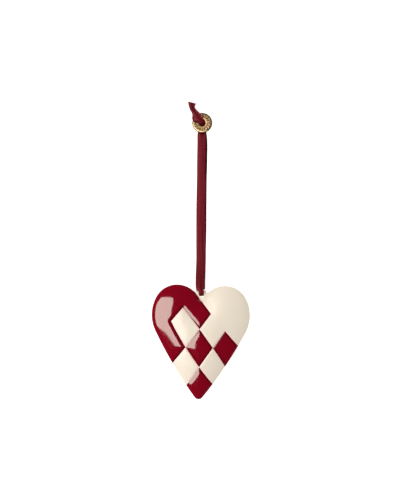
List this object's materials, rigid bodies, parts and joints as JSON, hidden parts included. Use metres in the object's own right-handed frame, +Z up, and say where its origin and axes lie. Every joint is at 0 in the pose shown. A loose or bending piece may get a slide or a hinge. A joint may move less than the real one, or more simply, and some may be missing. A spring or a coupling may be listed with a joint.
{
  "type": "hanging heart ornament",
  "caption": "Puffed metal heart with raised woven enamel fields, a lug in its notch, and a doubled ribbon drawn through a brass ring.",
  "frame": {"origin": "on the surface that the ornament lies on, under the middle of the heart", "axes": "+X to the right and +Y from the heart's tip towards its lug and ring, as the front is seen; +Z up, out of the front"},
  "size_m": [0.066, 0.1998, 0.014],
  "materials": {
    "enamel": "gloss",
    "ribbon": "satin",
    "brass": "polished"
  },
  "bodies": {
    "root": {"heart": "enamel", "ribbon": "ribbon", "ring": "brass"}
  },
  "joints": []
}
